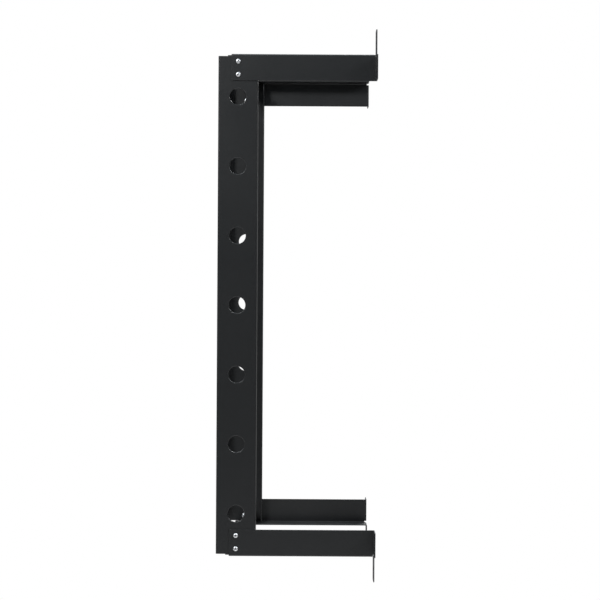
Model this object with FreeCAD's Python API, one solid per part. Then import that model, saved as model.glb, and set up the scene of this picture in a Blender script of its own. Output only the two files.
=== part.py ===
import FreeCAD, Part
import os
from math import sqrt

# Wall-mount open frame rack. Two channel posts stand off the wall on four angle arms, and an
# angle cross-member at each end holds the posts at the rack spacing. All of it is folded sheet.
# Millimetres. X runs across the rack, Y points into the wall and Z is up. The pieces are drawn
# about the middle of the rack, with the wall at Y = 0, and are then moved so that the origin
# lies on the wall face of the lower left arm, at the middle of its flange tab's lower edge.

# Rack pattern
rack_units = 20
unit_height = 44.45
unit_hole_inset = 6.35  # outer holes of a unit, from the unit's upper and lower edges
rack_opening = 450.8  # clear width between the posts
rack_hole_inset = 7.15  # rack holes, from the edge of the post's flange
rack_hole_diameter = 5.5

# Folded sheet
sheet = 2.0
bend_radius = 1.0  # inside of every fold

# Posts
post_depth = 76.2
post_flange = 32.1
post_end_margin = 33.0  # length of post beyond the first and the last unit
post_end_gap = 2.0  # end of a post to the flange of the arm, clear of its fold
cable_hole_diameter = 32.0
cable_hole_count = 7
cable_hole_units = 3  # rack units from one cable hole to the next

# Arms
stand_off = 304.8  # wall to the front of the posts
arm_setback = 25.0  # front of the posts to the front of the arms
arm_height = 51.0
arm_flange = 50.0
arm_nose_radius = 3.0
flange_tab = 50.0  # wall tab folded from the flange, past the flange's outer face
side_tab = 45.0  # wall tab folded from the web, past the web's outer face
tab_corner_radius = 3.0
flange_corner_gap = 3.0  # open corner between an arm's two tabs: from the arm's fold to the flange's tab
web_corner_gap = 1.0  # the same, from the arm's fold to the web's tab
corner_cut = 1.5  # how far the open corner is cut past the folds of the tabs
wall_hole_diameter = 10.0

# Cross-members
cross_leg = 40.0  # level leg, from front to back
cross_lip = 32.0  # upright leg
cross_end_gap = 0.5  # clearance to each post's web

# Joint screws
screw_hole_diameter = 6.6
screw_spacing = 25.4  # between the two screws in an arm's web

# Places worked out from the sizes above, for the right side and the top end of the rack
bend_outer = bend_radius + sheet
flange_relief = bend_outer + flange_corner_gap
web_relief = bend_outer + web_corner_gap
post_height = rack_units * unit_height + 2 * post_end_margin
post_top = post_height / 2
post_web_x = rack_opening / 2 + post_flange  # outer face of a post's web
post_front_y = -stand_off
post_mid_y = post_front_y + post_depth / 2
rack_hole_x = rack_opening / 2 + rack_hole_inset

arm_x = post_web_x + sheet  # outer face of an arm's web, which lies on the post's web
arm_front_y = post_front_y + arm_setback
arm_under = post_top + post_end_gap
arm_top = arm_under + sheet
arm_bottom = arm_top - arm_height
tab_fold_y = -bend_outer  # the tabs start to fold here

web_screw_z = arm_top - (bend_outer + arm_height) / 2
web_screw_zs = (web_screw_z - screw_spacing / 2, web_screw_z + screw_spacing / 2)
flange_screw_x = arm_x - (bend_outer + arm_flange) / 2

flange_tab_x = arm_x - (flange_relief + arm_flange) / 2
flange_tab_z = arm_top + (bend_radius + flange_tab) / 2
side_tab_x = arm_x + (bend_radius + side_tab) / 2
side_tab_top = arm_top - web_relief

wall_origin = FreeCAD.Vector(-flange_tab_x, 0, -(arm_top + flange_tab))

across = FreeCAD.Vector(1, 0, 0)
inward = FreeCAD.Vector(0, 1, 0)
upward = FreeCAD.Vector(0, 0, 1)


def point(x, y, z):
    return FreeCAD.Vector(x, y, z)


def arc_round(centre, before, after, radius):
    # Quarter circle of a right-angle fold; before and after are the sheet's directions.
    start = centre - after * radius
    middle = centre + (before - after) * (radius / sqrt(2))
    end = centre + before * radius
    return start, middle, end


def folded_sheet(corners, sweep):
    # A sheet folded by right angles, all the same way, and swept at right angles to its section.
    # The corners run along its outer side, from one edge of the sheet to the other.
    ways = [(b - a).normalize() for a, b in zip(corners, corners[1:])]
    folds = [
        (corner + (after - before) * bend_outer, before, after)
        for corner, before, after in zip(corners[1:-1], ways, ways[1:])
    ]
    outer = [arc_round(*fold, bend_outer) for fold in folds]
    inner = [arc_round(*fold, bend_radius)[::-1] for fold in reversed(folds)]
    inner_end = corners[-1] - ways[-2] * sheet
    inner_start = corners[0] + ways[1] * sheet

    edges = []
    last = corners[0]
    for start, middle, end in outer:
        edges += [Part.makeLine(last, start), Part.Arc(start, middle, end).toShape()]
        last = end
    edges += [Part.makeLine(last, corners[-1]), Part.makeLine(corners[-1], inner_end)]
    last = inner_end
    for start, middle, end in inner:
        edges += [Part.makeLine(last, start), Part.Arc(start, middle, end).toShape()]
        last = end
    edges += [Part.makeLine(last, inner_start), Part.makeLine(inner_start, corners[0])]
    return Part.Face(Part.Wire(edges)).extrude(sweep)


def hole(centre, axis, diameter):
    # Drill through one sheet; the centre lies on either face of it.
    reach = 2 * sheet
    return Part.makeCylinder(diameter / 2, 2 * reach, centre - axis * reach, axis)


def round_corners(shape, corners, radius):
    # Rounds the short edges through the sheet whose middles lie at the given corners.
    edges = [min(shape.Edges, key=lambda e: e.CenterOfMass.distanceToPoint(c)) for c in corners]
    return shape.makeFillet(radius, edges)


def mirrored(shape, normal):
    return shape.mirror(FreeCAD.Vector(), normal)


def right_post():
    front, back = post_front_y, post_front_y + post_depth
    edge = rack_opening / 2
    outline = [(edge, front), (post_web_x, front), (post_web_x, back), (edge, back)]
    channel = folded_sheet([point(x, y, -post_top) for x, y in outline], upward * post_height)

    holes = []
    for unit in range(rack_units):
        unit_z = (unit - rack_units / 2) * unit_height
        for rise in (unit_hole_inset, unit_height / 2, unit_height - unit_hole_inset):
            holes.append(hole(point(rack_hole_x, front, unit_z + rise), inward, rack_hole_diameter))
    cable_pitch = cable_hole_units * unit_height
    for number in range(cable_hole_count):
        cable_z = (number - (cable_hole_count - 1) / 2) * cable_pitch
        holes.append(hole(point(post_web_x, post_mid_y, cable_z), across, cable_hole_diameter))
    for screw_z in web_screw_zs:
        for z in (screw_z, -screw_z):
            holes.append(hole(point(post_web_x, post_mid_y, z), across, screw_hole_diameter))
    return channel.cut(holes)


def top_right_arm():
    edge = arm_x - arm_flange
    tab_end_x = arm_x + side_tab
    tab_end_z = arm_top + flange_tab
    lap_y = tab_fold_y - bend_outer

    section = [(edge, arm_top), (arm_x, arm_top), (arm_x, arm_bottom)]
    length = tab_fold_y - arm_front_y
    angle = folded_sheet([point(x, arm_front_y, z) for x, z in section], inward * length)

    section = [(post_web_x, lap_y), (post_web_x, 0), (tab_end_x, 0)]
    side = folded_sheet([point(x, y, arm_bottom) for x, y in section], upward * (arm_height - web_relief))

    section = [(lap_y, arm_under), (0, arm_under), (0, tab_end_z)]
    upright = folded_sheet([point(edge, y, z) for y, z in section], across * (arm_flange - flange_relief))

    arm = angle.fuse([side, upright]).removeSplitter()

    # The open corner between the two tabs, cut a little past the folds
    cut_y = tab_fold_y - corner_cut
    web_cut = Part.makeBox(bend_outer, -cut_y, web_relief, point(arm_x - bend_outer, cut_y, side_tab_top))
    flange_cut = Part.makeBox(
        flange_relief, -cut_y, bend_outer, point(arm_x - flange_relief, cut_y, arm_top - bend_outer)
    )
    arm = arm.cut([web_cut, flange_cut])

    half = sheet / 2
    arm = round_corners(
        arm,
        [
            point(tab_end_x, -half, arm_bottom),
            point(tab_end_x, -half, side_tab_top),
            point(edge, -half, tab_end_z),
            point(arm_x - flange_relief, -half, tab_end_z),
        ],
        tab_corner_radius,
    )
    arm = round_corners(
        arm,
        [point(arm_x - half, arm_front_y, arm_bottom), point(edge, arm_front_y, arm_top - half)],
        arm_nose_radius,
    )

    holes = [
        hole(point(flange_tab_x, 0, flange_tab_z), inward, wall_hole_diameter),
        hole(point(side_tab_x, 0, (arm_bottom + side_tab_top) / 2), inward, wall_hole_diameter),
        hole(point(flange_screw_x, post_mid_y, arm_top), upward, screw_hole_diameter),
    ]
    for screw_z in web_screw_zs:
        holes.append(hole(point(arm_x, post_mid_y, screw_z), across, screw_hole_diameter))
    return arm.cut(holes)


def top_cross_member():
    half_length = post_web_x - sheet - cross_end_gap
    front, back = post_mid_y - cross_leg / 2, post_mid_y + cross_leg / 2
    section = [(front, arm_under), (back, arm_under), (back, arm_under - cross_lip)]
    angle = folded_sheet([point(-half_length, y, z) for y, z in section], across * (2 * half_length))
    return angle.cut(
        [
            hole(point(x, post_mid_y, arm_under), upward, screw_hole_diameter)
            for x in (flange_screw_x, -flange_screw_x)
        ]
    )


post = right_post()
arm = top_right_arm()
cross = top_cross_member()
pieces = {
    "right_post": post,
    "left_post": mirrored(post, across),
    "top_right_arm": arm,
    "top_left_arm": mirrored(arm, across),
    "bottom_right_arm": mirrored(arm, upward),
    "bottom_left_arm": mirrored(mirrored(arm, across), upward),
    "top_cross_member": cross,
    "bottom_cross_member": mirrored(cross, upward),
}

os.makedirs("parts", exist_ok=True)
for name, piece in pieces.items():
    piece.translate(-wall_origin)
    piece.exportStep("parts/" + name + ".step")
    print(name, piece.isValid(), len(piece.Solids), round(piece.Volume), piece.BoundBox)
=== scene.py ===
from math import cos, pi, radians, sin, tan

import bmesh
import bpy
from mathutils import Euler, Matrix, Vector


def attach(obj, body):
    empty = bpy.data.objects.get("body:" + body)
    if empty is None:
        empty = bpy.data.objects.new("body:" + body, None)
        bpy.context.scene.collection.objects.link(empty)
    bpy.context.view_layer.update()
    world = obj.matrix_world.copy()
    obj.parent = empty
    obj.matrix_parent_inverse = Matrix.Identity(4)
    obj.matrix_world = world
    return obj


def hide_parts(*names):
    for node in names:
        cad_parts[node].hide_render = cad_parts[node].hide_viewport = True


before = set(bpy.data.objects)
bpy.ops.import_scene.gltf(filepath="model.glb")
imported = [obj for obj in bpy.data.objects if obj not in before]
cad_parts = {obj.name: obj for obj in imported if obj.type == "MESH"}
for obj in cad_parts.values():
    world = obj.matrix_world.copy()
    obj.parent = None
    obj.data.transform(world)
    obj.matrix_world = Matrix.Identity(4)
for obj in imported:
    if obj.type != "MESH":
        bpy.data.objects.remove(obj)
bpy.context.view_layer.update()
print("frame loaded:", ", ".join(sorted(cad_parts)))

scene = bpy.context.scene
scene.view_settings.view_transform = "Standard"


# Camera, square on to the right side of the rack
cameraPlan = {
    "place": (4.091, -0.1286, 0.572),
    "turn": (90, 0, 90),
    "roll": 0.33,
    "lens": 112.7,
    "sensor": 36.0,
    "shiftX": -0.0151,
    "shiftY": -0.0262,
    "farthest": 60,
}


def placeCamera(plan):
    data = bpy.data.cameras.new("sideCamera")
    data.lens = plan["lens"]
    data.sensor_width = plan["sensor"]
    data.shift_x = plan["shiftX"]
    data.shift_y = plan["shiftY"]
    data.clip_end = plan["farthest"]
    camera = bpy.data.objects.new("sideCamera", data)
    camera.location = plan["place"]
    facing = Euler([radians(a) for a in plan["turn"]]).to_matrix()
    camera.rotation_euler = (facing @ Matrix.Rotation(radians(plan["roll"]), 3, "Z")).to_euler()
    scene.collection.objects.link(camera)
    scene.camera = camera


placeCamera(cameraPlan)
print("camera placed")


# Node helpers
def addNode(tree, kind, values=None, **settings):
    node = tree.nodes.new(kind)
    for name, value in settings.items():
        setattr(node, name, value)
    for name, value in (values or {}).items():
        node.inputs[name].default_value = value
    return node


def link(tree, source, target):
    tree.links.new(source, target)


def feed(tree, target, value):
    # a plain value is set on the socket, and another node's output is linked to it
    if isinstance(value, (int, float, tuple)):
        target.default_value = value
    else:
        link(tree, value, target)


def mathNode(tree, operation, first, second):
    node = addNode(tree, "ShaderNodeMath", operation=operation)
    feed(tree, node.inputs[0], first)
    feed(tree, node.inputs[1], second)
    return node.outputs[0]


def vectorNode(tree, operation, first, second=(0, 0, 0)):
    node = addNode(tree, "ShaderNodeVectorMath", operation=operation)
    feed(tree, node.inputs[0], first)
    feed(tree, node.inputs[1], second)
    return node.outputs["Value" if operation in ("DOT_PRODUCT", "LENGTH") else "Vector"]


def rangeNode(tree, value, low, high, toLow, toHigh):
    limits = {"From Min": low, "From Max": high, "To Min": toLow, "To Max": toHigh}
    node = addNode(tree, "ShaderNodeMapRange", limits)
    link(tree, value, node.inputs["Value"])
    return node.outputs["Result"]


def mixColour(tree, factor, first, second):
    node = addNode(tree, "ShaderNodeMix", data_type="RGBA")
    link(tree, factor, node.inputs["Factor"])
    for name, value in (("A", first), ("B", second)):
        target = [s for s in node.inputs if s.name == name and s.type == "RGBA"][0]
        feed(tree, target, (*value, 1) if isinstance(value, tuple) else value)
    return [s for s in node.outputs if s.type == "RGBA"][0]


def mixShaders(tree, share, first, second, out):
    mix = addNode(tree, "ShaderNodeMixShader")
    for target, source in zip(mix.inputs, (share, first, second)):
        link(tree, source, target)
    link(tree, mix.outputs[0], out.inputs["Surface"])


def newGroup(name, inputs, outputs):
    tree = bpy.data.node_groups.new(name, "ShaderNodeTree")
    for label, kind, value in inputs:
        socket = tree.interface.new_socket(label, in_out="INPUT", socket_type=kind)
        if value is not None:
            socket.default_value = value
    for label in outputs:
        tree.interface.new_socket(label, in_out="OUTPUT", socket_type="NodeSocketFloat")
    return tree, addNode(tree, "NodeGroupInput"), addNode(tree, "NodeGroupOutput")


# Studio: white for the eye. In reflections the floor is bright near the rack, the ceiling has
# a cool glow, the side beyond the rack is pale and the camera's side is dark.
studioPlan = {
    "middle": (0.23, -0.15, 0.55),
    "ambient": 0.2,
    "floorHeight": -0.32,
    "floorSize": 14.0,
    "floorColour": (0.86, 0.86, 0.86, 1),
    "shadowReach": (0.7, 1.35),
    "shadowDepth": 0.95,
    "floorShine": (0.9, 0.06),
    "floorFade": (1.2, 3.2),
    "ceilingShine": 0.63,
    "ceilingAxis": (0, 0, 1),
    "ceilingRange": (0.12, 0.6),
    "ceilingTint": (0.82, 1.0, 1.14),
    "backShine": 0.25,
    "backAxis": (-0.80, -0.58, 0.15),
    "backRange": (-0.8, 0.5),
}
lampPlan = {
    "frontBox": {"place": (3.36, -1.8, 2.5), "size": 0.8, "power": 96},
    "wallSideBox": {"place": (2.1, 2.4, 2.35), "size": 1.2, "power": 56},
    "overheadBox": {"place": (0.2, -0.4, 3.0), "size": 1.6, "power": 16},
    "farSideBox": {"place": (-2.4, 0.8, 2.2), "size": 1.2, "power": 60},
}


def lightPathMask(tree):
    path = addNode(tree, "ShaderNodeLightPath")
    seen = mathNode(tree, "MAXIMUM", path.outputs["Is Camera Ray"], path.outputs["Is Glossy Ray"])
    return mathNode(tree, "MAXIMUM", seen, path.outputs["Is Transmission Ray"]), path


def axisGlow(tree, heading, axis, span, strength):
    # a glow that rises from nothing to full strength towards an axis
    along = vectorNode(tree, "DOT_PRODUCT", heading, axis)
    return rangeNode(tree, along, *span, 0.0, strength)


def backGlow(tree, heading, plan):
    return axisGlow(tree, heading, plan["backAxis"], plan["backRange"], plan["backShine"])


def lightWorld(plan):
    world = bpy.data.worlds.new("studioWorld")
    scene.world = world
    world.use_nodes = True
    tree = world.node_tree
    tree.nodes.clear()
    out = addNode(tree, "ShaderNodeOutputWorld")
    mask, path = lightPathMask(tree)
    heading = addNode(tree, "ShaderNodeTexCoord").outputs["Generated"]
    back = backGlow(tree, heading, plan)
    ceiling = axisGlow(tree, heading, plan["ceilingAxis"], plan["ceilingRange"], plan["ceilingShine"])
    cool = vectorNode(tree, "MULTIPLY", plan["ceilingTint"], ceiling)
    glow = vectorNode(tree, "ADD", cool, back)
    shine = vectorNode(tree, "MAXIMUM", glow, path.outputs["Is Camera Ray"])
    soft = addNode(tree, "ShaderNodeBackground", {"Color": (1, 1, 1, 1), "Strength": plan["ambient"]})
    white = addNode(tree, "ShaderNodeBackground")
    link(tree, shine, white.inputs["Color"])
    mixShaders(tree, mask, soft.outputs[0], white.outputs[0], out)


def layFloor(plan):
    x, y = plan["middle"][:2]
    z = plan["floorHeight"]
    mesh = bpy.data.meshes.new("paleFloor")
    bm = bmesh.new()
    bmesh.ops.create_grid(bm, x_segments=1, y_segments=1, size=plan["floorSize"])
    bmesh.ops.translate(bm, vec=(x, y, z), verts=bm.verts)
    bm.to_mesh(mesh)
    bm.free()
    floor = bpy.data.objects.new("paleFloor", mesh)
    scene.collection.objects.link(floor)

    paint = bpy.data.materials.new("paleFloorPaint")
    paint.use_nodes = True
    tree = paint.node_tree
    tree.nodes.clear()
    out = addNode(tree, "ShaderNodeOutputMaterial")
    flat = addNode(tree, "ShaderNodeBsdfDiffuse", {"Color": plan["floorColour"]})
    glow = addNode(tree, "ShaderNodeEmission", {"Color": (1, 1, 1, 1)})
    where = addNode(tree, "ShaderNodeTexCoord")
    centred = addNode(tree, "ShaderNodeMapping", {"Location": (-x, -y, -z)})
    link(tree, where.outputs["Object"], centred.inputs["Vector"])
    reach = vectorNode(tree, "LENGTH", centred.outputs[0])
    # real shadows show under the rack and fade into plain white around it
    away = rangeNode(tree, reach, *plan["shadowReach"], 1 - plan["shadowDepth"], 1.0)
    mask, path = lightPathMask(tree)
    share = mathNode(tree, "MULTIPLY", away, mask)
    back = backGlow(tree, vectorNode(tree, "NORMALIZE", centred.outputs[0]), plan)
    pool = rangeNode(tree, reach, *plan["floorFade"], *plan["floorShine"])
    lit = mathNode(tree, "MAXIMUM", pool, back)
    shine = mathNode(tree, "MAXIMUM", lit, path.outputs["Is Camera Ray"])
    link(tree, shine, glow.inputs["Strength"])
    mixShaders(tree, share, flat.outputs[0], glow.outputs[0], out)
    mesh.materials.append(paint)


def hangLamp(name, plan, target):
    data = bpy.data.lights.new(name, "AREA")
    data.shape = "SQUARE"
    data.size = plan["size"]
    data.energy = plan["power"]
    lamp = bpy.data.objects.new(name, data)
    lamp.location = plan["place"]
    aim = Vector(target) - Vector(plan["place"])
    lamp.rotation_euler = aim.to_track_quat("-Z", "Y").to_euler()
    scene.collection.objects.link(lamp)


lightWorld(studioPlan)
layFloor(studioPlan)
for lampName, lamp in lampPlan.items():
    hangLamp(lampName, lamp, studioPlan["middle"])
print("studio lit with", len(lampPlan), "boxes")


# Shared effects
grainPlan = {
    "peelScale": 700.0,
    "peelNoise": {"Detail": 2.0, "Roughness": 0.55},
    "cloudScale": 9.0,
    "cloudNoise": {"Detail": 3.0, "Roughness": 0.6},
    "cloudRange": (0.3, 0.7),
    "speckPerPeel": 3.1,
    "speckNoise": {"Detail": 1.0, "Roughness": 0.5},
    "speckRange": (0.35, 0.75),
    "speckHeight": 0.35,
}


def coatGrainGroup(plan):
    # fine orange peel and slow clouding of a baked powder coat
    tree, taken, given = newGroup(
        "coatGrain",
        [
            ("Vector", "NodeSocketVector", None),
            ("Peel Scale", "NodeSocketFloat", plan["peelScale"]),
            ("Cloud Scale", "NodeSocketFloat", plan["cloudScale"]),
        ],
        ["Height", "Cloud", "Speck"],
    )
    peel = addNode(tree, "ShaderNodeTexNoise", plan["peelNoise"])
    cloud = addNode(tree, "ShaderNodeTexNoise", plan["cloudNoise"])
    speck = addNode(tree, "ShaderNodeTexNoise", plan["speckNoise"])
    for node in (peel, cloud, speck):
        link(tree, taken.outputs["Vector"], node.inputs["Vector"])
    link(tree, taken.outputs["Peel Scale"], peel.inputs["Scale"])
    link(tree, taken.outputs["Cloud Scale"], cloud.inputs["Scale"])
    speckScale = mathNode(tree, "MULTIPLY", taken.outputs["Peel Scale"], plan["speckPerPeel"])
    link(tree, speckScale, speck.inputs["Scale"])
    fine = mathNode(tree, "MULTIPLY", speck.outputs["Fac"], plan["speckHeight"])
    link(tree, mathNode(tree, "ADD", peel.outputs["Fac"], fine), given.inputs["Height"])
    for noise, span, label in ((cloud, "cloudRange", "Cloud"), (speck, "speckRange", "Speck")):
        link(tree, rangeNode(tree, noise.outputs["Fac"], *plan[span], 0.0, 1.0), given.inputs[label])
    return tree


dustPlan = {
    "amount": 0.2,
    "slopeRange": (0.55, 0.95),
    "driftNoise": {"Scale": 28.0, "Detail": 5.0, "Roughness": 0.62},
    "driftRange": (0.3, 0.75),
    "thinnest": 0.35,
}


def settledDustGroup(plan):
    # a thin film on what faces up, broken by noise
    tree, taken, given = newGroup(
        "settledDust",
        [("Vector", "NodeSocketVector", None), ("Amount", "NodeSocketFloat", plan["amount"])],
        ["Mask"],
    )
    shape = addNode(tree, "ShaderNodeNewGeometry")
    apart = addNode(tree, "ShaderNodeSeparateXYZ")
    link(tree, shape.outputs["Normal"], apart.inputs[0])
    upward = rangeNode(tree, apart.outputs["Z"], *plan["slopeRange"], 0.0, 1.0)
    drift = addNode(tree, "ShaderNodeTexNoise", plan["driftNoise"])
    link(tree, taken.outputs["Vector"], drift.inputs["Vector"])
    patchy = rangeNode(tree, drift.outputs["Fac"], *plan["driftRange"], plan["thinnest"], 1.0)
    film = mathNode(tree, "MULTIPLY", upward, patchy)
    link(tree, mathNode(tree, "MULTIPLY", film, taken.outputs["Amount"]), given.inputs["Mask"])
    return tree


wearPlan = {
    "spotScale": 160.0,
    "spotNoise": {"Detail": 4.0, "Roughness": 0.65},
    "broadNoise": {"Scale": 14.0, "Detail": 1.0},
    "cover": 0.2,
    "leastRange": (0.42, 0.12),
    "spotEdge": 0.06,
}


def handlingWearGroup(plan):
    # small rubbed spots, for edges and for plated heads
    tree, taken, given = newGroup(
        "handlingWear",
        [
            ("Vector", "NodeSocketVector", None),
            ("Spot Scale", "NodeSocketFloat", plan["spotScale"]),
            ("Cover", "NodeSocketFloat", plan["cover"]),
        ],
        ["Mask"],
    )
    spots = addNode(tree, "ShaderNodeTexNoise", plan["spotNoise"])
    broad = addNode(tree, "ShaderNodeTexNoise", plan["broadNoise"])
    for node in (spots, broad):
        link(tree, taken.outputs["Vector"], node.inputs["Vector"])
    link(tree, taken.outputs["Spot Scale"], spots.inputs["Scale"])
    both = mathNode(tree, "MULTIPLY", spots.outputs["Fac"], broad.outputs["Fac"])
    least = rangeNode(tree, taken.outputs["Cover"], 0.0, 1.0, *plan["leastRange"])
    over = mathNode(tree, "SUBTRACT", both, least)
    link(tree, rangeNode(tree, over, 0.0, plan["spotEdge"], 0.0, 1.0), given.inputs["Mask"])
    return tree


coatGrain = coatGrainGroup(grainPlan)
settledDust = settledDustGroup(dustPlan)
handlingWear = handlingWearGroup(wearPlan)


def placeGroup(tree, group, vector, values):
    node = addNode(tree, "ShaderNodeGroup", values, node_tree=group)
    link(tree, vector, node.inputs["Vector"])
    return node


def newMaterial(name):
    material = bpy.data.materials.new(name)
    material.use_nodes = True
    tree = material.node_tree
    where = addNode(tree, "ShaderNodeTexCoord")
    return material, tree, tree.nodes["Principled BSDF"], where.outputs["Object"]


def raiseSurface(tree, shader, height, strength, depth):
    bump = addNode(tree, "ShaderNodeBump", {"Strength": strength, "Distance": depth})
    link(tree, height, bump.inputs["Height"])
    link(tree, bump.outputs["Normal"], shader.inputs["Normal"])


# Materials
coatPlan = {
    "deep": (0.0089, 0.0097, 0.0104),
    "pale": (0.0128, 0.0138, 0.0148),
    "dust": (0.10, 0.098, 0.094),
    "dustAmount": 0.12,
    "dustRough": 2.4,
    "rough": (0.27, 0.35),
    "edgeRough": (0.24, 0.31),
    "speckRough": 0.05,
    "specular": 0.46,
    "peelScale": 700.0,
    "peelStrength": 0.26,
    "peelDepth": 0.0003,
    "edgePale": (0.0171, 0.0182, 0.0192),
    "edgeWorn": (0.045, 0.046, 0.047),
    "edgeCover": 0.3,
}


def powderCoat(name, plan, onEdge):
    material, tree, shader, where = newMaterial(name)
    grain = placeGroup(tree, coatGrain, where, {"Peel Scale": plan["peelScale"]})
    film = placeGroup(tree, settledDust, where, {"Amount": plan["dustAmount"]})
    if onEdge:
        rub = placeGroup(tree, handlingWear, where, {"Cover": plan["edgeCover"]})
        thin = mixColour(tree, grain.outputs["Cloud"], plan["pale"], plan["edgePale"])
        colour = mixColour(tree, rub.outputs["Mask"], thin, plan["edgeWorn"])
    else:
        colour = mixColour(tree, grain.outputs["Cloud"], plan["deep"], plan["pale"])
    colour = mixColour(tree, film.outputs["Mask"], colour, plan["dust"])
    link(tree, colour, shader.inputs["Base Color"])
    smooth, rough = plan["edgeRough"] if onEdge else plan["rough"]
    gloss = rangeNode(tree, grain.outputs["Cloud"], 0.0, 1.0, rough, smooth)
    sparkle = mathNode(tree, "MULTIPLY", grain.outputs["Speck"], plan["speckRough"])
    dulled = mathNode(tree, "MULTIPLY", film.outputs["Mask"], plan["dustRough"])
    total = mathNode(tree, "ADD", mathNode(tree, "ADD", gloss, sparkle), dulled)
    link(tree, total, shader.inputs["Roughness"])
    shader.inputs["Specular IOR Level"].default_value = plan["specular"]
    raiseSurface(tree, shader, grain.outputs["Height"], plan["peelStrength"], plan["peelDepth"])
    return material


zincPlan = {
    "bright": (0.80, 0.81, 0.82),
    "milky": (0.66, 0.67, 0.69),
    # the plate down in the socket is painted dark, as shade in the recess
    "socketShadeDark": (0.10, 0.10, 0.105),
    "socketShadePale": (0.2, 0.2, 0.21),
    "rough": (0.36, 0.48),
    "wear": {"Spot Scale": 900.0, "Cover": 0.55},
    "grain": {"Peel Scale": 2600.0, "Cloud Scale": 240.0},
    "grainStrength": 0.08,
    "grainDepth": 0.0001,
}


def zincPlate(name, plan, paintsSocketShade):
    material, tree, shader, where = newMaterial(name)
    rub = placeGroup(tree, handlingWear, where, plan["wear"])
    grain = placeGroup(tree, coatGrain, where, plan["grain"])
    # in the socket the plate takes the painted shade colours
    first, second = ("socketShadeDark", "socketShadePale") if paintsSocketShade else ("bright", "milky")
    colour = mixColour(tree, grain.outputs["Cloud"], plan[first], plan[second])
    link(tree, colour, shader.inputs["Base Color"])
    shader.inputs["Metallic"].default_value = 1.0
    gloss = rangeNode(tree, rub.outputs["Mask"], 0.0, 1.0, *plan["rough"])
    link(tree, gloss, shader.inputs["Roughness"])
    raiseSurface(tree, shader, grain.outputs["Height"], plan["grainStrength"], plan["grainDepth"])
    return material


threadPlan = {
    "steel": (0.36, 0.36, 0.37),
    # the thread grooves are painted darker as shade
    "grooveShade": (0.16, 0.155, 0.15),
    "pitch": 0.00106,
    "rough": (0.5, 0.3),
    "wear": {"Spot Scale": 700.0, "Cover": 0.6},
    "grooveStrength": 0.8,
    "grooveDepth": 0.0004,
}


def tappedSteel(name, plan):
    material, tree, shader, where = newMaterial(name)
    # a wave texture of scale 1 repeats every pi / 10
    wave = addNode(tree, "ShaderNodeTexWave", bands_direction="Y", wave_profile="TRI")
    wave.inputs["Scale"].default_value = pi / (10 * plan["pitch"])
    link(tree, where, wave.inputs["Vector"])
    rub = placeGroup(tree, handlingWear, where, plan["wear"])
    # the colour follows the bump's wave: painted shade in the thread grooves, plain steel on the crests
    colour = mixColour(tree, wave.outputs["Fac"], plan["grooveShade"], plan["steel"])
    link(tree, colour, shader.inputs["Base Color"])
    shader.inputs["Metallic"].default_value = 1.0
    gloss = rangeNode(tree, rub.outputs["Mask"], 0.0, 1.0, *plan["rough"])
    link(tree, gloss, shader.inputs["Roughness"])
    raiseSurface(tree, shader, wave.outputs["Fac"], plan["grooveStrength"], plan["grooveDepth"])
    return material


blackCoat = powderCoat("blackPowderCoat", coatPlan, False)
blackCoatEdge = powderCoat("blackPowderCoatEdge", coatPlan, True)
zincHead = zincPlate("zincPlate", zincPlan, False)
zincSocketShade = zincPlate("zincSocketShade", zincPlan, True)
tappedHole = tappedSteel("tappedSteel", threadPlan)
print("materials made")


# Folded sheet pieces: each solid's merged copy, with its sheared edges rounded under the coat
sheetPlan = {
    "mergeLength": 0.000005,
    "flatAngle": 0.3,
    "sharpAngle": 40,
    "edgeRadius": 0.00045,
    "edgeSegments": 2,
    "rimRadius": 0.0009,
    "rimSegments": 4,
    "leastLength": 0.000002,
    "cableRadius": 0.016,
    "cableSlack": 1.01,
    "rimShare": 0.3,
    "outerFaces": (-0.026, 0.489),
    "faceSlack": 0.0001,
    "holeLine": -0.2667,
    "tappedColumns": (-0.00105, 0.46405),
    "tappedRadius": 0.00275,
    "tappedSlack": 1.05,
    "frontFace": -0.3048,
    "thickness": 0.002,
    "wallTilt": 0.1,
    "normalWeight": 100,
}
# Slots of a sheet's materials: the coat, the coat on rounded edges and the tapped holes
coatSlot, edgeSlot, threadSlot = 0, 1, 2


def isTapped(face, plan):
    # the wall of a rack hole, whose normal lies in the plane of the sheet
    middle = face.calc_center_median()
    front = plan["frontFace"]
    if abs(face.normal.y) > plan["wallTilt"] or not front < middle.y < front + plan["thickness"]:
        return False
    reach = plan["tappedSlack"] * plan["tappedRadius"]
    return any(abs(middle.x - x) < reach for x in plan["tappedColumns"])


def isCableRim(edge, plan):
    # the outer rim of a cable hole, where the punch has drawn the sheet in
    slack = plan["faceSlack"]
    if not any(all(abs(v.co.x - x) < slack for v in edge.verts) for x in plan["outerFaces"]):
        return False
    radius = plan["cableRadius"]
    if any(abs(v.co.y - plan["holeLine"]) > plan["cableSlack"] * radius for v in edge.verts):
        return False
    if edge.calc_length() >= plan["rimShare"] * radius:
        return False
    return any(abs(f.normal.x) < plan["wallTilt"] for f in edge.link_faces)


def roundEdges(bm, edges, radius, segments):
    made = bmesh.ops.bevel(
        bm,
        geom=edges,
        offset=radius,
        offset_type="OFFSET",
        segments=segments,
        profile=0.5,
        affect="EDGES",
        clamp_overlap=False,
        loop_slide=False,
        material=-1,
    )
    for face in made["faces"]:
        face.smooth = True
        face.material_index = edgeSlot


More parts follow.
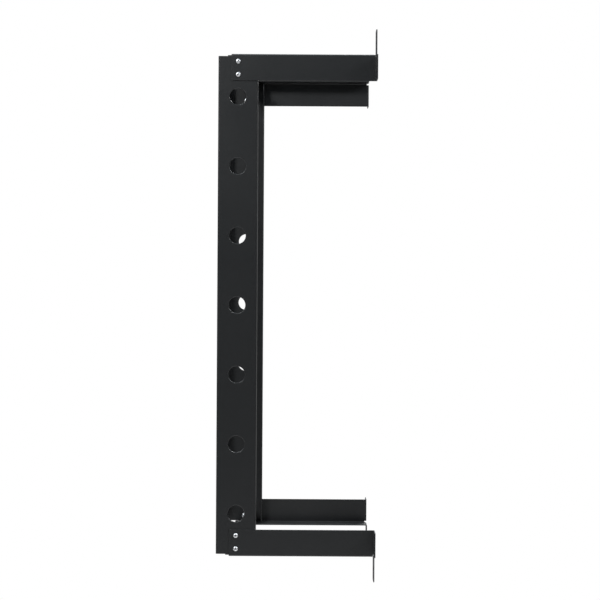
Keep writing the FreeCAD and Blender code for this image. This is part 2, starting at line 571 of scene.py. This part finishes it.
def coatedCopy(nodeName, plan):
    bm = bmesh.new()
    bm.from_mesh(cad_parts[nodeName].data)
    bmesh.ops.remove_doubles(bm, verts=bm.verts, dist=plan["mergeLength"])
    bmesh.ops.dissolve_limit(
        bm,
        angle_limit=radians(plan["flatAngle"]),
        use_dissolve_boundaries=False,
        verts=bm.verts,
        edges=bm.edges,
    )
    for face in bm.faces:
        face.smooth = True
        face.material_index = threadSlot if isTapped(face, plan) else coatSlot
    least = radians(plan["sharpAngle"])
    sharp = [e for e in bm.edges if e.is_manifold and e.calc_face_angle() > least]
    others = [e for e in sharp if not isCableRim(e, plan)]
    roundEdges(bm, others, plan["edgeRadius"], plan["edgeSegments"])
    rims = [e for e in bm.edges if e.is_manifold and isCableRim(e, plan)]
    roundEdges(bm, rims, plan["rimRadius"], plan["rimSegments"])
    bmesh.ops.dissolve_degenerate(bm, dist=plan["leastLength"], edges=bm.edges)
    mesh = bpy.data.meshes.new(nodeName + "_coated")
    bm.to_mesh(mesh)
    bm.free()
    for material in (blackCoat, blackCoatEdge, tappedHole):
        mesh.materials.append(material)
    piece = bpy.data.objects.new(nodeName + "_coated", mesh)
    scene.collection.objects.link(piece)
    even = piece.modifiers.new("evenShading", "WEIGHTED_NORMAL")
    even.mode = "FACE_AREA"
    even.weight = plan["normalWeight"]
    even.keep_sharp = False
    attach(piece, "root")
    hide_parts(nodeName)
    return piece


for nodeName in sorted(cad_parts):
    sheetPiece = coatedCopy(nodeName, sheetPlan)
    print("coated", nodeName, len(sheetPiece.data.polygons), "faces")


# Joint screws and flange nuts, drawn in millimetres about their own axis, head or crown up
screwPlan = {
    "segments": 36,
    "headRadius": 4.75,
    "headHeight": 2.9,
    "rimHeight": 0.4,
    "seatInset": 0.25,
    "seatRise": 0.2,
    "undercut": 0.1,
    "crownRadius": 2.5,
    "domeSteps": 6,
    "socketAcross": 3.3,
    "socketDepth": 1.8,
    "socketLip": 0.12,
    "lipDrop": 0.02,
    "lipDepth": 0.2,
    "drillRadius": 0.6,
    "drillDepth": 0.5,
    "length": 12.0,
    "tipInset": 0.5,
    "tipLength": 0.7,
    "coreRadius": 2.02,
    "pitch": 0.8,
    "rootSink": 0.08,
    "rootShare": 0.46,
    "crestRadius": 2.45,
    "crestHalf": 0.06,
    "threadStart": 0.9,
    "threadSpare": 2.2,
    "stepsPerTurn": 24,
}
nutPlan = {
    "segments": 36,
    "across": 8.0,
    "height": 5.0,
    "seatInset": 0.25,
    "seatRise": 0.25,
    "flangeRadius": 5.9,
    "flangeEdge": 1.0,
    "edgeInset": 0.2,
    "edgeRise": 0.15,
    "flangeTop": 1.8,
    "hexRoot": 0.1,
    "hexRise": 0.15,
    "chamferRadius": 3.8,
    "chamferAngle": 28,
    "boreRadius": 2.1,
    "countersink": 2.7,
    "sinkDepth": 0.5,
    "dish": 0.1,
}
# Slots of a fastener's materials: the plate, and the plate down in the socket, painted darker as shade
plateSlot, socketShadeSlot = 0, 1


def loopVerts(loop):
    return list({v for e in loop for v in e.verts})


def addLoop(bm, segments, radius, height, sides=0):
    # a round loop, or with sides a polygon of as many points
    before = set(bm.edges)
    bmesh.ops.create_circle(bm, cap_ends=False, segments=sides or segments, radius=radius)
    loop = [e for e in bm.edges if e not in before]
    if sides:
        bmesh.ops.subdivide_edges(bm, edges=loop, cuts=segments // sides - 1)
        loop = [e for e in bm.edges if e not in before]
    bmesh.ops.translate(bm, vec=(0, 0, height), verts=loopVerts(loop))
    return loop


def joinLoops(bm, loops):
    made = []
    for lower, upper in zip(loops, loops[1:]):
        made += bmesh.ops.bridge_loops(bm, edges=lower + upper)["faces"]
    return made


def hexCorner(across):
    return 0.5 * across / cos(pi / 6)


def drawThread(bm, plan):
    # a ridge with a closed section, swept along a helix
    root = plan["coreRadius"] - plan["rootSink"]
    crest = plan["crestRadius"]
    half = plan["rootShare"] * plan["pitch"]
    start = plan["threadStart"] - plan["length"]
    outline = (
        (root, start - half),
        (crest, start - plan["crestHalf"]),
        (crest, start + plan["crestHalf"]),
        (root, start + half),
    )
    corners = [bm.verts.new((radius, 0, height)) for radius, height in outline]
    section = [bm.edges.new(pair) for pair in zip(corners, corners[1:] + corners[:1])]
    turns = int((plan["length"] - plan["threadSpare"]) / plan["pitch"])
    bmesh.ops.spin(
        bm,
        geom=corners + section,
        cent=(0, 0, 0),
        axis=(0, 0, 1),
        dvec=(0, 0, plan["pitch"] / plan["stepsPerTurn"]),
        angle=2 * pi * turns,
        steps=turns * plan["stepsPerTurn"],
        use_merge=False,
        use_duplicate=False,
    )
    ends = [e for e in bm.edges if e.is_boundary and e.verts[0].co.z < 0]
    bmesh.ops.holes_fill(bm, edges=ends, sides=0)


def drawScrew(plan):
    bm = bmesh.new()
    around = plan["segments"]
    head = plan["headRadius"]
    core = plan["coreRadius"]
    rim = plan["rimHeight"]
    top = plan["headHeight"]
    loops = [
        addLoop(bm, around, core - plan["tipInset"], -plan["length"]),
        addLoop(bm, around, core, plan["tipLength"] - plan["length"]),
        addLoop(bm, around, core, plan["undercut"]),
        addLoop(bm, around, head - plan["seatInset"], 0.0),
        addLoop(bm, around, head, plan["seatRise"]),
        addLoop(bm, around, head, rim),
    ]
    # the dome is a round arc from the rim to the flat crown
    reach = head - plan["crownRadius"]
    last = plan["domeSteps"]
    for step in range(1, last + 1):
        turn = 0.5 * pi * step / last
        loops.append(addLoop(bm, around, head - reach * (1 - cos(turn)), rim + (top - rim) * sin(turn)))
    corner = hexCorner(plan["socketAcross"])
    floor = top - plan["socketDepth"]
    loops.append(addLoop(bm, around, corner + plan["socketLip"], top - plan["lipDrop"], sides=6))
    joinLoops(bm, loops)
    inner = [
        loops[-1],
        addLoop(bm, around, corner, top - plan["lipDepth"], sides=6),
        addLoop(bm, around, corner, floor, sides=6),
        addLoop(bm, around, plan["drillRadius"], floor - plan["drillDepth"]),
    ]
    recess = joinLoops(bm, inner)
    recess += bmesh.ops.holes_fill(bm, edges=inner[-1], sides=0)["faces"]
    bmesh.ops.holes_fill(bm, edges=loops[0], sides=0)
    drawThread(bm, plan)
    for face in bm.faces:
        face.smooth = True
        face.material_index = plateSlot
    # the socket's faces take the plate painted darker as shade
    for face in recess:
        face.material_index = socketShadeSlot
    bmesh.ops.recalc_face_normals(bm, faces=bm.faces)
    return bm


def drawNut(plan):
    bm = bmesh.new()
    around = plan["segments"]
    corner = hexCorner(plan["across"])
    flange = plan["flangeRadius"]
    edge = plan["flangeEdge"]
    high = plan["height"]
    crown = addLoop(bm, around, corner, high, sides=6)
    # the hexagon's upper edge falls away towards its corners, as a turned chamfer leaves it
    fall = tan(radians(plan["chamferAngle"]))
    for vert in loopVerts(crown):
        vert.co.z = high - (vert.co.xy.length - plan["chamferRadius"]) * fall
    loops = [
        addLoop(bm, around, plan["countersink"], plan["dish"]),
        addLoop(bm, around, flange - plan["seatInset"], 0.0),
        addLoop(bm, around, flange, plan["seatRise"]),
        addLoop(bm, around, flange, edge),
        addLoop(bm, around, flange - plan["edgeInset"], edge + plan["edgeRise"]),
        addLoop(bm, around, corner + plan["hexRoot"], plan["flangeTop"]),
        addLoop(bm, around, corner, plan["flangeTop"] + plan["hexRise"], sides=6),
        crown,
        addLoop(bm, around, plan["chamferRadius"], high),
        addLoop(bm, around, plan["countersink"], high - plan["dish"]),
        addLoop(bm, around, plan["boreRadius"], high - plan["sinkDepth"]),
        addLoop(bm, around, plan["boreRadius"], plan["sinkDepth"]),
    ]
    loops.append(loops[0])
    joinLoops(bm, loops)
    for face in bm.faces:
        face.smooth = True
    bmesh.ops.recalc_face_normals(bm, faces=bm.faces)
    return bm


# Each fastener is turned about its own axis by its first angle and a step for every one before
fastenPlan = {
    "millimetre": 0.001,
    "sharpAngle": 34,
    "screwTurn": (17, 37),
    "nutTurn": (5, 23),
}


def fasten(name, bm, place, axis, spin, plan):
    # a finished copy of a fastener, set on its seat
    turn = Vector((0, 0, 1)).rotation_difference(Vector(axis)).to_matrix().to_4x4()
    seat = Matrix.Translation(place) @ turn
    seat = seat @ Matrix.Rotation(radians(spin), 4, "Z") @ Matrix.Scale(plan["millimetre"], 4)
    copy = bm.copy()
    bmesh.ops.transform(copy, matrix=seat, verts=copy.verts)
    mesh = bpy.data.meshes.new(name)
    copy.to_mesh(mesh)
    copy.free()
    mesh.set_sharp_from_angle(angle=radians(plan["sharpAngle"]))
    mesh.materials.append(zincHead)
    mesh.materials.append(zincSocketShade)
    piece = bpy.data.objects.new(name, mesh)
    scene.collection.objects.link(piece)
    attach(piece, "root")


jointPlan = {
    "middleX": 0.2315,
    "middleZ": 0.5315,
    "lineY": -0.2667,
    "webFace": 0.2595,
    "webInside": 0.2555,
    "webHeights": (0.4418, 0.4672),
    "flangeX": 0.2330,
    "flangeFace": 0.4815,
    "flangeInside": 0.4775,
}


def jointSeats(plan):
    # (name, head seat, nut seat, axis) for every screw in the four corners
    seats = []
    for endName, up in (("top", 1), ("bottom", -1)):
        for sideName, side in (("right", 1), ("left", -1)):
            label = endName + "_" + sideName
            for number, rise in enumerate(plan["webHeights"]):
                z = plan["middleZ"] + up * rise
                head = (plan["middleX"] + side * plan["webFace"], plan["lineY"], z)
                nut = (plan["middleX"] + side * plan["webInside"], plan["lineY"], z)
                seats.append((label + "_web_" + str(number + 1), head, nut, (side, 0, 0)))
            x = plan["middleX"] + side * plan["flangeX"]
            head = (x, plan["lineY"], plan["middleZ"] + up * plan["flangeFace"])
            nut = (x, plan["lineY"], plan["middleZ"] + up * plan["flangeInside"])
            seats.append((label + "_flange", head, nut, (0, 0, up)))
    return seats


def spinOf(turn, number):
    first, step = turn
    return first + step * number


screwMesh = drawScrew(screwPlan)
nutMesh = drawNut(nutPlan)
seats = jointSeats(jointPlan)
for number, (label, headSeat, nutSeat, axis) in enumerate(seats):
    inward = [-a for a in axis]
    screwSpin = spinOf(fastenPlan["screwTurn"], number)
    nutSpin = spinOf(fastenPlan["nutTurn"], number)
    fasten("screw_" + label, screwMesh, headSeat, axis, screwSpin, fastenPlan)
    fasten("nut_" + label, nutMesh, nutSeat, inward, nutSpin, fastenPlan)
print("screws and nuts:", 2 * len(seats), "pieces,", len(screwMesh.faces), "faces a screw")
screwMesh.free()
nutMesh.free()
